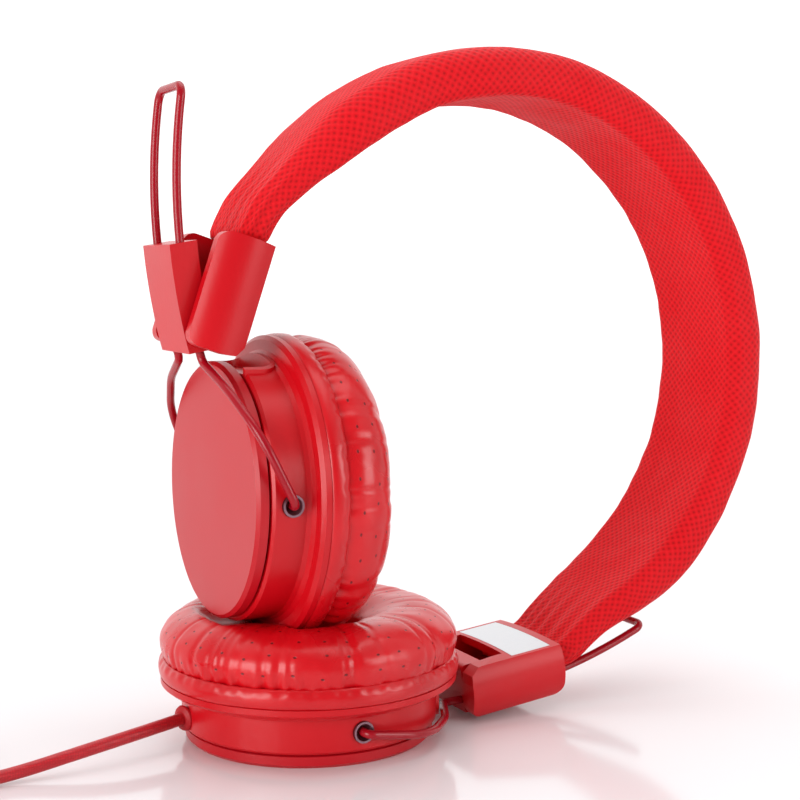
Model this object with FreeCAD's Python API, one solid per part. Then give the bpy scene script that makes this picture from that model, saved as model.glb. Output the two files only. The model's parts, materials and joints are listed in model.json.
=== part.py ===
import FreeCAD, Part
import math
import os
from FreeCAD import Matrix, Placement, Vector

# Foldable on-ear headphones, standing on the outer disc of the left ear cup.
# Millimetres, +Z up. The origin is the centre of the left cup's outer disc, on the table.
# The headband bends in the plane Y = 0, and +X points from the left cup along its arm.
# The right cup stands on the left cup's cushion, with its arm part folded.

# ---------------------------------------------------------------- driving dimensions
WIRE_R = 1.0              # yoke wire, 2 mm across
WIRE_HOLE_R = 1.05        # sliding holes for it
BOW_R = 148.0             # every yoke wire is bent to this radius, seen from the side
PIVOT_Y = 33.6            # legs of the yoke, either side of the cup
SHOULDER_S = 35.4         # pivot to the start of the two sliding runs, along the wire
WIRE_HALF_GAP = 8.3       # half the spacing of the two sliding runs
BLOCK_S = {"left": 51.0, "right": 48.4}    # pivot to the middle of the slider block
WIRE_END_S = 96.2         # pivot to the closed end of the hairpin

CUP_R = 31.2              # cup wall
CUP_WALL = 1.8
COVER_R = 30.3            # outer disc
COVER_H = 3.1
SHELL_Z = 3.4             # cup shell starts here, above a dark groove
FLANGE_Z = 13.3
FLANGE_R = 36.2
SEAM_Z = 19.6             # where the cushion is sewn to its skirt
PIVOT_Z = 8.0             # eyelets above the outer disc
NOTCH_X = 28.0            # flat on the cup wall that faces the arm
NOTCH_Y = 12.3
NOTCH_TOP = 10.9
CUSHION_R = 35.3
CUSHION_HOLE_R = 13.0
CUSHION_TOP = {"left": 31.0, "right": 33.0}    # the left one is pressed a little flatter

BLOCK_L = 25.0
BLOCK_W = 20.0
BLOCK_OUT = -3.0          # outer face of the block, from the wire's middle
BLOCK_IN = 3.5            # inner face
HUMP_TOP = 9.8            # hinge end of the block is thicker
HUMP_END_X = -5.6
BLOCK_SCREWS_X = (-1.6, 10.8)
PIN_X = -9.4              # hinge pin, from the middle of the nested block
PIN_Z = 3.7
PIN_R = 1.0
PIN_HALF_L = 15.2

HOUSING_X0 = -13.0        # end of the housing at the cup
HOUSING_X1 = 14.0         # end at the headband
RIM_Z = -3.0              # open outer edge of the housing
CROWN_Z = 10.8            # inner face of the housing, at its middle
CAVITY_Y = 10.9           # half the width of the space for the block
ROOF_Z = 8.6
WINDOW_X1 = -0.9          # the inner face is open from the cup end to here
PLATE_X0 = 0.3
PLATE_L = 11.4
PLATE_T = 0.45
RIVETS_X = (5.2, 9.8)
BAND_Z = 5.2              # middle of the headband where it enters
BAND_GAP = 0.2

BAND_W = 34.0
BAND_T = 11.2
MOUTH_W = 26.5            # the band is gathered where it enters a housing
MOUTH_T = 8.0
COVER_T = 1.2             # knitted sleeve over the foam
STRIP_W = 10.0
STRIP_T = 0.8
# runs of the headband from the left housing round to the right one:
# (radius, turn in degrees)
BAND_RUNS = [(11.97, 35.26), (-69.26, -13.84), (71.35, 59.45), (73.39, 70.6), (68.7, 54.48),
             (175.24, 6.5), (175.24, 3.7), (25.74, 28.26)]

LEFT_TILT = 12.7          # arm of the left cup leans out from the cup's plane
RIGHT_TILT = 29.3
RIGHT_FOLD = 28.5         # right arm part swung out of its housing
PRESS_GAP = 0.5           # air left round the right cup where the left cushion is dented

CORD_R = 1.5
# centre line of the cord from its grommet to the coil, chosen by hand
CORD_ROUTE = [
    (-32.9, 0.5, 6.8),
    (-43.4, -3.7, 6.4),
    (-58.5, -6.4, 4.7),
    (-75.0, -6.4, 1.7),
    (-89.8, -8.8, 1.6),
]
COIL_CENTRE = (-111.5, 5.5)
COIL_MEAN_R = 17.0
COIL_BAND = 11.6          # width of the bundle of turns
COIL_H = 9.6
# centre line of the short tail from the coil to the plug
TAIL_ROUTE = [
    (-135.9, 8.0, 1.7),
    (-136.4, -3.2, 2.2),
    (-133.6, -14.2, 4.1),
    (-128.6, -24.0, 4.1),
]
PLUG_R = 1.75             # 3.5 mm stereo plug

PARTS = "parts"
os.makedirs(PARTS, exist_ok=True)
BUILT = {}


def save(name, shape):
    """Keep a sub-part and write it as STEP."""
    BUILT[name] = shape
    shape.exportStep(f"{PARTS}/{name}.step")


# ---------------------------------------------------------------- frames in the X-Z plane
def frame(x, z, heading, side=1):
    """A frame whose local x points along heading and whose local z points inward."""
    a = math.radians(heading)
    ux = Vector(math.cos(a), 0, math.sin(a))
    uz = Vector(-math.sin(a), 0, math.cos(a)) * side
    uy = uz.cross(ux)
    return Placement(
        Matrix(ux.x, uy.x, uz.x, x, ux.y, uy.y, uz.y, 0, ux.z, uy.z, uz.z, z, 0, 0, 0, 1)
    )


def placed(shape, place):
    moved = shape.copy()
    moved.Placement = place.multiply(moved.Placement)
    return moved


# ---------------------------------------------------------------- solid helpers
def box(x0, x1, y0, y1, z0, z1):
    return Part.makeBox(x1 - x0, y1 - y0, z1 - z0, Vector(x0, y0, z0))


def cyl(r, z0, z1, x=0.0, y=0.0):
    return Part.makeCylinder(r, z1 - z0, Vector(x, y, z0))


def cyl_y(r, y0, y1, x, z):
    return Part.makeCylinder(r, y1 - y0, Vector(x, y0, z), Vector(0, 1, 0))


def ring(r0, r1, z0, z1):
    return cyl(r1, z0, z1).cut(cyl(r0, z0 - 1, z1 + 1))


def turned(outline):
    """Solid of revolution about the local z axis, from (radius, z) points."""
    points = [Vector(r, 0, z) for r, z in outline]
    face = Part.Face(Part.makePolygon(points + points[:1]))
    return face.revolve(Vector(0, 0, 0), Vector(0, 0, 1), 360)


def joined(shapes):
    solid = shapes[0].multiFuse(shapes[1:]) if len(shapes) > 1 else shapes[0]
    return solid.removeSplitter()


def group(shapes):
    return Part.makeCompound(shapes)


def rounded_route(points, radii):
    """Straight edges joined by tangent arcs, one radius for each inner point."""
    points = [Vector(*p) for p in points]
    edges = []
    start = points[0]
    for before, corner, after, radius in zip(points, points[1:], points[2:], radii):
        a = (before - corner).normalize()
        b = (after - corner).normalize()
        half = a.getAngle(b) / 2
        reach = radius / math.tan(half)
        middle = corner + (a + b).normalize() * (radius / math.sin(half) - radius)
        first = corner + a * reach
        last = corner + b * reach
        edges.append(Part.makeLine(start, first))
        edges.append(Part.Arc(first, middle, last).toShape())
        start = last
    edges.append(Part.makeLine(start, points[-1]))
    return edges


def tube(edges, radius):
    """Round solid swept along tangent edges."""
    path = Part.Wire(edges)
    start = edges[0].firstVertex().Point
    heading = edges[0].tangentAt(edges[0].FirstParameter)
    section = Part.Wire(Part.makeCircle(radius, start, heading))
    return path.makePipeShell([section], True, False)


# ---------------------------------------------------------------- wire yoke
def bow_point(s, y):
    """A point of the yoke's bow at arc length s from the pivot, and the tangent there."""
    a = s / BOW_R
    point = Vector(BOW_R * math.sin(a), y, BOW_R * (1 - math.cos(a)))
    return point, Vector(math.cos(a), 0, math.sin(a))


def on_bow(s):
    """Frame of a block at arc length s along the bow."""
    point = bow_point(s, 0)[0]
    return frame(point.x, point.z, math.degrees(s / BOW_R))


def bow_arc(s0, s1, y):
    ends = [bow_point(s, y)[0] for s in (s0, (s0 + s1) / 2, s1)]
    return Part.Arc(*ends).toShape()


def yoke_half(y_sign):
    """Edges from the hook in the eyelet to the start of the sliding run."""
    spots = [(0, 28.4), (0, PIVOT_Y), (17.0, PIVOT_Y - 1.3), (27.5, 20.2)]
    spots.append((SHOULDER_S - 2.2, WIRE_HALF_GAP))
    spots.append((SHOULDER_S, WIRE_HALF_GAP))
    route = [bow_point(s, y_sign * y)[0] for s, y in spots]
    return rounded_route(route, [1.8, 17.0, 23.0, 2.5])


def wire_yoke():
    """One wire: hook, leg, shoulder, sliding run, closed end, and back."""
    near = yoke_half(1)
    far = yoke_half(-1)
    start_s = SHOULDER_S
    end_s = WIRE_END_S - 3.0
    far_end, tangent = bow_point(end_s, 0)
    cap = far_end + tangent * 3.0
    closed = rounded_route(
        [
            (far_end.x, WIRE_HALF_GAP, far_end.z),
            (cap.x, WIRE_HALF_GAP, cap.z),
            (cap.x, -WIRE_HALF_GAP, cap.z),
            (far_end.x, -WIRE_HALF_GAP, far_end.z),
        ],
        [2.9, 2.9],
    )
    edges = near
    edges.append(bow_arc(start_s, end_s, WIRE_HALF_GAP))
    edges += closed
    edges.append(bow_arc(end_s, start_s, -WIRE_HALF_GAP))
    edges += [Part.makeLine(e.lastVertex().Point, e.firstVertex().Point)
              if e.Curve.TypeId == "Part::GeomLine" else e for e in reversed(far)]
    return tube(edges, WIRE_R)


# ---------------------------------------------------------------- slider block
def bow_slab(z0, z1):
    """Part of the block between two faces that follow the wire's bow."""
    outer = Part.makeCylinder(
        BOW_R - z0, BLOCK_W, Vector(0, -BLOCK_W / 2, BOW_R), Vector(0, 1, 0)
    )
    inner = Part.makeCylinder(
        BOW_R - z1, BLOCK_W, Vector(0, -BLOCK_W / 2, BOW_R), Vector(0, 1, 0)
    )
    limits = box(-BLOCK_L / 2, BLOCK_L / 2, -BLOCK_W / 2, BLOCK_W / 2, -6, 9)
    return outer.cut(inner).common(limits)


def wire_holes():
    """Curved channels for the two sliding runs, in the block's frame."""
    channels = []
    for y in (-WIRE_HALF_GAP, WIRE_HALF_GAP):
        ring_solid = Part.makeTorus(BOW_R, WIRE_HOLE_R, Vector(0, y, BOW_R), Vector(0, 1, 0))
        channels.append(ring_solid)
    return group(channels)


def screw(x, y, z_head, z_tip, head_r, head_h, shank_r):
    """Pan-head screw along z, with a hex socket; the head is on the z_head side."""
    way = 1 if z_tip > z_head else -1
    head = Part.makeCylinder(head_r, head_h, Vector(x, y, z_head), Vector(0, 0, way))
    length = abs(z_tip - z_head)
    shank = Part.makeCylinder(shank_r, length, Vector(x, y, z_head), Vector(0, 0, way))
    socket = Part.makeCylinder(head_r * 0.42, head_h * 0.6, Vector(x, y, z_head), Vector(0, 0, way))
    return head.fuse(shank).cut(socket)


def slider_block():
    """Two halves that trap the wire, a friction spring and two screws."""
    holes = wire_holes()
    outer = bow_slab(BLOCK_OUT, 0).cut(holes)
    inner = bow_slab(0, BLOCK_IN)
    hump = box(-BLOCK_L / 2, HUMP_END_X, -BLOCK_W / 2, BLOCK_W / 2, 1.5, HUMP_TOP)
    hump = hump.makeFillet(1.6, [e for e in hump.Edges if is_along_y_at(e, HUMP_TOP)])
    inner = joined([inner, hump]).cut(holes)
    inner = inner.cut(cyl_y(PIN_R + 0.05, -20, 20, PIN_X, PIN_Z))
    pocket = box(2.0, 9.4, -5.0, 5.0, -1.2, 1.2)
    spring = box(2.4, 9.0, -4.6, 4.6, -0.95, 0.95).cut(box(1.0, 8.3, -3.9, 3.9, -2, 2))
    screws = []
    recess = [pocket]
    for x in BLOCK_SCREWS_X:
        screws.append(screw(x, 0, 3.1, -2.2, 1.5, 0.9, 0.8))
        recess.append(cyl(1.5, 2.2, 6, x))
        recess.append(cyl(0.8, -2.2, 2.2, x))
    cutter = group(recess)
    return {
        "block_outer": outer.cut(cutter),
        "block_inner": inner.cut(cutter),
        "friction_spring": spring,
        "block_screws": group(screws),
    }


def is_along_x_at(edge, z):
    """Whether an edge runs along x at height z."""
    a, b = [v.Point for v in edge.Vertexes]
    return abs(a.y - b.y) < 0.01 and abs(a.z - z) < 0.01 and abs(b.z - z) < 0.01


def is_along_y_at(edge, z):
    """Whether an edge runs along y at height z."""
    a, b = [v.Point for v in edge.Vertexes]
    return abs(a.x - b.x) < 0.01 and abs(a.z - z) < 0.01 and abs(b.z - z) < 0.01


# ---------------------------------------------------------------- end housing
def side_curve(y_top, z_top, y_mid, z_mid, y_rim, z_rim, sign):
    ends = [(y_top, z_top), (y_mid, z_mid), (y_rim, z_rim)]
    return Part.Arc(*[Vector(0, sign * y, z) for y, z in ends]).toShape()


def housing_section():
    """Outline across the housing: crowned inner face and bulging side walls."""
    top_z = CROWN_Z - 0.6
    crown = Part.Arc(Vector(0, -15.0, top_z), Vector(0, 0, CROWN_Z), Vector(0, 15.0, top_z))
    left = side_curve(15.0, top_z, 16.5, 3.6, 13.6, RIM_Z, 1)
    right = side_curve(15.0, top_z, 16.5, 3.6, 13.6, RIM_Z, -1)
    foot = Part.makeLine(Vector(0, -13.6, RIM_Z), Vector(0, 13.6, RIM_Z))
    return Part.Face(Part.Wire(Part.__sortEdges__([crown.toShape(), left, foot, right])))


def housing_profile():
    """Side view of the housing, with rounded ends."""
    x0, x1 = HOUSING_X0, HOUSING_X1
    corners = [(x0, RIM_Z), (x1, RIM_Z), (x1, 12.0), (-1.6, 12.0), (-3.2, 10.5),
               (x0 + 2.8, 10.1), (x0 + 0.4, 8.4), (x0, 6.0)]
    points = [Vector(x, -20, z) for x, z in corners]
    face = Part.Face(Part.makePolygon(points + points[:1]))
    solid = face.extrude(Vector(0, 40, 0))
    rim_edges = [e for e in solid.Edges if is_along_y_at(e, RIM_Z)]
    return solid.makeFillet(2.8, rim_edges)


def plate_recess(clearance):
    """Layer just under the housing's crown that holds the metal plate."""
    section = housing_section()
    sunk = section.copy()
    sunk.translate(Vector(0, 0, -PLATE_T))
    length = PLATE_L + 2 * clearance
    layer = section.extrude(Vector(length, 0, 0)).cut(sunk.extrude(Vector(length, 0, 0)))
    layer.translate(Vector(PLATE_X0 - clearance, 0, 0))
    half = 13.8 + clearance
    return layer.common(box(-5, 15, -half, half, 6, 12))


def end_housing():
    x0, x1 = HOUSING_X0, HOUSING_X1
    body = housing_section().extrude(Vector(x1 - x0, 0, 0))
    body.translate(Vector(x0, 0, 0))
    body = body.cut(box(x0 - 1, x1 + 1, -CAVITY_Y, CAVITY_Y, RIM_Z - 1, ROOF_Z))
    end_wall = box(x1 - 1.3, x1, -CAVITY_Y - 1, CAVITY_Y + 1, 4.6, ROOF_Z + 0.5)
    boss = box(2.5, x1 - 1.0, -6.0, 6.0, BAND_Z + STRIP_T / 2, ROOF_Z + 0.5)
    body = joined([body, end_wall, boss])
    half_t = STRIP_T / 2
    slot = box(x1 - 3, x1 + 1, -STRIP_W / 2, STRIP_W / 2, BAND_Z - half_t, BAND_Z + half_t)
    body = body.cut(slot)
    window = box(x0 - 1, WINDOW_X1, -CAVITY_Y, CAVITY_Y, 5.0, 12.0)
    body = body.cut(window).common(housing_profile())
    body = body.cut(plate_recess(0.1))
    body = body.cut(cyl_y(PIN_R, -PIN_HALF_L, PIN_HALF_L, PIN_X, PIN_Z))
    for x in RIVETS_X:
        body = body.cut(cyl(0.8, 3.0, 7.4, x))
    return body


def housing_parts():
    pin = cyl_y(PIN_R, -PIN_HALF_L, PIN_HALF_L, PIN_X, PIN_Z)
    head_z = BAND_Z - STRIP_T / 2 - 0.5
    rivets = [screw(x, 0, head_z, 7.4, 1.6, 0.5, 0.8) for x in RIVETS_X]
    return {
        "end_housing": end_housing(),
        "housing_plate": plate_recess(0.0),
        "hinge_pin": pin,
        "band_screws": group(rivets),
    }


# ---------------------------------------------------------------- ear cup
def cup_cover():
    """Outer disc: a flat face with a shallow inner recess and a locating ring."""
    disc = turned([(0, 0), (COVER_R - 0.8, 0), (COVER_R, 0.8), (COVER_R, COVER_H - 0.3),
                   (COVER_R - 0.9, COVER_H), (0, COVER_H)])
    return disc.cut(ring(8, COVER_R - 3.0, 1.6, COVER_H + 1))


def notch_prism(x0, grow):
    """U-shaped prism along x over the flat, larger all round by grow."""
    prism = box(x0, 45, -NOTCH_Y - grow, NOTCH_Y + grow, SHELL_Z - 1, NOTCH_TOP + grow)
    top = [e for e in prism.Edges if is_along_x_at(e, NOTCH_TOP + grow)]
    return prism.makeFillet(3.0 + grow, top)


def cup_notch_walls():
    """Thickening behind the flat and the raised lip round it."""
    back = box(NOTCH_X - 1.8, NOTCH_X + 2.5, -NOTCH_Y - 1.6, NOTCH_Y + 1.6, SHELL_Z, 12.6)
    back = back.common(cyl(CUP_R - 0.2, 0, 20))
    lip = ring(CUP_R - 0.4, CUP_R + 0.8, SHELL_Z, NOTCH_TOP + 2)
    return [back, lip.common(notch_prism(20, 1.2))]


def cup_shell():
    """Bowl with a flange for the cushion, eyelet holes and the flat for the arm."""
    r = CUP_R
    bowl = turned([
        (0, SHELL_Z), (r - 0.6, SHELL_Z), (r, SHELL_Z + 0.6), (r, FLANGE_Z - 2.0),
        (r + 0.5, FLANGE_Z - 1.0), (r + 1.6, FLANGE_Z - 0.3), (FLANGE_R - 1.0, FLANGE_Z - 0.2),
        (FLANGE_R, FLANGE_Z + 0.6),
        (FLANGE_R, FLANGE_Z + 2.0), (35.2, FLANGE_Z + 2.0), (35.2, 18.6), (34.3, 18.6),
        (34.3, FLANGE_Z + 2.0), (r - CUP_WALL, FLANGE_Z + 2.0), (r - CUP_WALL, SHELL_Z + 1.6),
        (0, SHELL_Z + 1.6),
    ])
    posts = [cyl(2.2, SHELL_Z + 1.0, FLANGE_Z + 2.0, *screw_spot(i)) for i in range(3)]
    shell = joined([bowl] + cup_notch_walls() + posts)
    shell = shell.cut(notch_prism(NOTCH_X, 0))
    shell = shell.cut(group([cyl(0.9, 7.0, 16.0, *screw_spot(i)) for i in range(3)]))
    for y0, y1 in ((28.0, 40.0), (-40.0, -28.0)):
        shell = shell.cut(cyl_y(2.3, y0, y1, 0, PIVOT_Z))
    for y0, y1 in ((31.0, 40.0), (-40.0, -31.0)):
        shell = shell.cut(cyl_y(2.6, y0, y1, 0, PIVOT_Z))
    return shell


def screw_spot(i):
    """Centre of one of the three baffle screws."""
    a = math.radians(40 + 120 * i)
    return 26.4 * math.cos(a), 26.4 * math.sin(a)


def yoke_eyelets():
    """Dished bushes that carry the ends of the yoke."""
    eyelets = []
    for sign in (1, -1):
        way = Vector(0, sign, 0)
        body = Part.makeCylinder(2.3, 2.4, Vector(0, sign * 28.8, PIVOT_Z), way)
        rim = Part.makeCylinder(2.5, 0.9, Vector(0, sign * 31.0, PIVOT_Z), way)
        dish = Part.makeCone(WIRE_R, 2.1, 1.4, Vector(0, sign * 30.6, PIVOT_Z), way)
        hole = Part.makeCylinder(WIRE_R + 0.06, 9, Vector(0, sign * 26, PIVOT_Z), way)
        eyelets.append(body.fuse(rim).cut(dish).cut(hole))
    return group(eyelets)


def driver_parts():
    """Loudspeaker behind the baffle."""
    z = FLANGE_Z + 2.2
    frame_ring = turned([(20.4, z - 1.6), (20.4, z - 0.1), (16.6, z - 0.1), (16.6, z - 2.4),
                         (9.9, z - 5.2), (9.9, z - 6.4), (17.8, z - 3.2), (17.8, z - 1.6)])
    for i in range(6):
        a = math.radians(60 * i)
        vent = cyl(1.7, z - 8, z - 1.0, 13.4 * math.cos(a), 13.4 * math.sin(a))
        frame_ring = frame_ring.cut(vent)
    pot = cyl(9.8, z - 9.2, z - 4.0).cut(ring(6.9, 8.5, z - 7.6, z))
    coil = ring(7.3, 8.0, z - 6.8, z - 1.7)
    top = [(0, -0.4), (3.0, -0.5), (5.8, -0.8), (7.6, -1.3), (9.0, -1.2), (12.5, -0.6), (16.3, -1.1)]
    dome = turned([(r, z + h) for r, h in top] + [(r, z + h - 0.2) for r, h in reversed(top)])
    return frame_ring, pot, coil, dome


def baffle():
    z0 = FLANGE_Z + 2.1
    plate = cyl(34.2, z0, z0 + 1.8).cut(cyl(16.4, z0 - 1, z0 + 3))
    holes = [cyl(1.0, z0 - 1, z0 + 3, *screw_spot(i)) for i in range(3)]
    vents = []
    for i in range(12):
        a = math.radians(30 * i + 15)
        vents.append(cyl(1.3, z0 - 1, z0 + 3, 22.8 * math.cos(a), 22.8 * math.sin(a)))
    return plate.cut(group(holes + vents))


def driver_grille():
    """Perforated disc over the driver."""
    z0 = FLANGE_Z + 3.95
    holes = [cyl(0.8, z0 - 1, z0 + 2)]
    for count, radius in ((6, 3.6), (12, 7.2), (18, 10.8), (24, 14.4)):
        for i in range(count):
            a = 2 * math.pi * i / count
            holes.append(cyl(0.8, z0 - 1, z0 + 2, radius * math.cos(a), radius * math.sin(a)))
    return cyl(18.6, z0, z0 + 0.6).cut(group(holes))


def ear_cushion(side):
    """Plain ring of padded leatherette."""
    top = CUSHION_TOP[side]
    z0 = SEAM_Z + 0.1
    return turned([
        (CUSHION_HOLE_R + 1.2, z0), (CUSHION_R - 0.4, z0), (CUSHION_R, z0 + 3.6),
        (CUSHION_R - 1.0, z0 + 0.62 * (top - z0)), (CUSHION_R - 4.2, top - 1.3),
        (CUSHION_R - 8.4, top), (CUSHION_HOLE_R + 6.2, top - 0.6),
        (CUSHION_HOLE_R + 1.6, top - 3.6), (CUSHION_HOLE_R, z0 + 3.8),
    ])


def cup_parts(side):
    """Every sub-part of one ear cup, in the cup's frame."""
    z_board = SHELL_Z + 1.7
    frame_ring, pot, coil, dome = driver_parts()
    screws = []
    for i in range(3):
        x, y = screw_spot(i)
        screws.append(screw(x, y, FLANGE_Z + 4.9, 8.0, 1.8, 1.0, 0.9))
    board = box(-24, -13, -7, 7, z_board, z_board + 1.0)
    pads = [box(-23 + 3.2 * i, -21.4 + 3.2 * i, -5.4, 5.4, z_board + 1.0, z_board + 1.2)
            for i in range(3)]
    return {
        "cup_cover": cup_cover(),
        "cup_shell": cup_shell(),
        "baffle": baffle(),
        "driver_frame": frame_ring,
        "driver_magnet": pot,
        "voice_coil": coil,
        "diaphragm": dome,
        "driver_grille": driver_grille(),
        "dust_felt": cyl(32.5, FLANGE_Z + 5.95, FLANGE_Z + 6.25),
        "ear_cushion": ear_cushion(side),
        "cushion_skirt": turned([
            (35.25, FLANGE_Z + 2.05), (FLANGE_R + 0.1, FLANGE_Z + 2.05),
            (FLANGE_R + 0.3, FLANGE_Z + 4.0), (FLANGE_R - 0.1, SEAM_Z), (35.25, SEAM_Z),
        ]),
        "baffle_screws": group(screws),
        "yoke_eyelets": yoke_eyelets(),
        "terminal_board": joined([board] + pads),
    }


# ---------------------------------------------------------------- headband
def band_section(inset, fullness=1.0):
    """Flat inner face and rounded outer roll, in the local y-z plane.

    A fullness of 0 is the gathered mouth and 1 is the padded middle of the band.
    """
    half = (MOUTH_W + (BAND_W - MOUTH_W) * fullness) / 2 - inset
    half_t = (MOUTH_T + (BAND_T - MOUTH_T) * fullness) / 2 - inset
    r_in = 2.6 + 0.6 * fullness - inset * 0.6
    r_out = 3.7 + 1.7 * fullness - inset
    edges = []
    spots = [(half, half_t, r_in, 1, 1), (half, -half_t, r_out, 1, -1),
             (-half, -half_t, r_out, -1, -1), (-half, half_t, r_in, -1, 1)]
    ends = []
    for y, z, r, sy, sz in spots:
        cy, cz = y - sy * r, z - sz * r
        along_z = Vector(0, y, cz)
        along_y = Vector(0, cy, z)
        middle = Vector(0, cy + sy * r * math.sqrt(0.5), cz + sz * r * math.sqrt(0.5))
        first, last = (along_y, along_z) if sy * sz > 0 else (along_z, along_y)
        edges.append(Part.Arc(first, middle, last).toShape())
        ends.append((first, last))
    for i in range(4):
        edges.append(Part.makeLine(ends[i][1], ends[(i + 1) % 4][0]))
    return Part.Face(Part.Wire(Part.__sortEdges__(edges)))


def strip_section():
    half_t = STRIP_T / 2
    corners = [(-STRIP_W / 2, -half_t), (STRIP_W / 2, -half_t),
               (STRIP_W / 2, half_t), (-STRIP_W / 2, half_t)]
    points = [Vector(0, y, z) for y, z in corners]
    return Part.Face(Part.makePolygon(points + points[:1]))


def link_section():
    centre = Vector(0, 9.4, 0)
    return Part.Face(Part.Wire(Part.makeCircle(0.8, centre, Vector(1, 0, 0))))


def run_step(radius, turn):
    """Change of frame along an arc of the headband."""
    a = math.radians(turn)
    return frame(radius * math.sin(a), radius * (1 - math.cos(a)), turn)


def along_band(section, start, runs):
    """Solids of a section carried along some runs of the headband, and the end frame."""
    place = start
    pieces = []
    for radius, turn in runs:
        centre = place.multVec(Vector(0, 0, radius))
        axis = place.Rotation.multVec(Vector(0, -1, 0))
        pieces.append(placed(section, place).revolve(centre, axis, turn))
        place = place.multiply(run_step(radius, turn))
    return pieces, place


def gathered_end(inset, start, runs, opening):
    """Loft between the gathered mouth and the full section, over two runs."""
    total = sum(abs(math.radians(turn) * radius) for radius, turn in runs)
    place = start
    done = 0.0
    steps = 4
    sections = []
    for radius, turn in runs:
        for i in range(steps):
            part = done / total
            ease = part * part * (3 - 2 * part)
            fullness = ease if opening else 1 - ease
            sections.append(placed(band_section(inset, fullness).OuterWire, place))
            place = place.multiply(run_step(radius, turn / steps))
            done += abs(math.radians(turn) * radius) / steps
    sections.append(placed(band_section(inset, 1.0 if opening else 0.0).OuterWire, place))
    return Part.makeLoft(sections, True, False), place


def padded_band(inset, start):
    """The whole band, gathered over its first and last two runs."""
    first, place = gathered_end(inset, start, BAND_RUNS[:2], True)
    middle, place = along_band(band_section(inset), place, BAND_RUNS[2:-2])
    last, place = gathered_end(inset, place, BAND_RUNS[-2:], False)
    return joined([first] + middle + [last]), place


# ---------------------------------------------------------------- chain of frames
left_cup = frame(0, 0, 0)
left_yoke = left_cup.multiply(frame(0, PIVOT_Z, -LEFT_TILT))
left_block = left_yoke.multiply(on_bow(BLOCK_S["left"]))
left_housing = left_block
band_start = left_housing.multiply(frame(HOUSING_X1 + BAND_GAP, BAND_Z, 0))

sleeve_solid, band_end = padded_band(0, band_start)
end_x = band_end.Rotation.multVec(Vector(-1, 0, 0))
end_heading = math.degrees(math.atan2(end_x.z, end_x.x))
right_mouth = frame(band_end.Base.x, band_end.Base.z, end_heading, -1)
right_housing = right_mouth.multiply(frame(-HOUSING_X1 - BAND_GAP, -BAND_Z, 0))
pin_turn = frame(PIN_X, PIN_Z, -RIGHT_FOLD).multiply(frame(-PIN_X, -PIN_Z, 0))
right_block = right_housing.multiply(pin_turn)
right_yoke = right_block.multiply(on_bow(BLOCK_S["right"]).inverse())
cup_turn = frame(0, 0, RIGHT_TILT).multiply(frame(0, -PIVOT_Z, 0))
right_cup = right_yoke.multiply(cup_turn)

CUPS = {"left": left_cup, "right": right_cup}
YOKES = {"left": left_yoke, "right": right_yoke}
BLOCKS = {"left": left_block, "right": right_block}
HOUSINGS = {"left": left_housing, "right": right_housing}

# ---------------------------------------------------------------- build both sides
for side in ("left", "right"):
    for name, shape in cup_parts(side).items():
        save(f"{side}_{name}", placed(shape, CUPS[side]))
    save(f"{side}_wire_yoke", placed(wire_yoke(), YOKES[side]))
    for name, shape in slider_block().items():
        save(f"{side}_{name}", placed(shape, BLOCKS[side]))
    for name, shape in housing_parts().items():
        save(f"{side}_{name}", placed(shape, HOUSINGS[side]))

# the left cushion is dented where the right cup stands on it
envelope = turned([
    (0, -PRESS_GAP), (CUP_R + PRESS_GAP, -PRESS_GAP), (CUP_R + PRESS_GAP, FLANGE_Z - PRESS_GAP),
    (FLANGE_R + 0.3 + PRESS_GAP, FLANGE_Z - PRESS_GAP), (FLANGE_R + 0.3 + PRESS_GAP, SEAM_Z + 0.5),
    (CUSHION_R + PRESS_GAP, SEAM_Z + 2.0), (CUSHION_R + PRESS_GAP, 30.0),
    (CUSHION_R - 4.0, 34.0), (0, 34.0),
])
dented = BUILT["left_ear_cushion"].cut(placed(envelope, right_cup))
save("left_ear_cushion", dented)

# headband: spring strip and link wire run through foam in a knitted sleeve
strip_in_band = joined(along_band(strip_section(), band_start, BAND_RUNS)[0])
link_wire = joined(along_band(link_section(), band_start, BAND_RUNS)[0])
foam_solid = padded_band(COVER_T, band_start)[0]


def wire_bed(depth):
    """Space along the band's outer face where the closed end of a yoke slides."""
    outer = Part.makeCylinder(BOW_R + 20, 21, Vector(0, -10.5, BOW_R), Vector(0, 1, 0))
    inner = Part.makeCylinder(BOW_R - depth, 23, Vector(0, -11.5, BOW_R), Vector(0, 1, 0))
    return outer.cut(inner).common(box(HOUSING_X1, 62, -11, 11, -10, 20))


for housing in (left_housing, right_housing):
    sleeve_solid = sleeve_solid.cut(placed(wire_bed(1.35), housing))
    foam_solid = foam_solid.cut(placed(wire_bed(1.35 + COVER_T), housing))
tongues = []
for housing in (left_housing, right_housing):
    tongue = box(3.2, HOUSING_X1 + BAND_GAP, -STRIP_W / 2, STRIP_W / 2,
                 BAND_Z - STRIP_T / 2, BAND_Z + STRIP_T / 2)
    for x in RIVETS_X:
        tongue = tongue.cut(cyl(0.8, 3.0, 7.4, x))
    tongues.append(placed(tongue, housing))
save("headband_spring", joined([strip_in_band] + tongues))
save("headband_link_wire", link_wire)
save("headband_foam", foam_solid.cut(strip_in_band).cut(link_wire))
save("headband_sleeve", sleeve_solid.cut(foam_solid))

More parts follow.
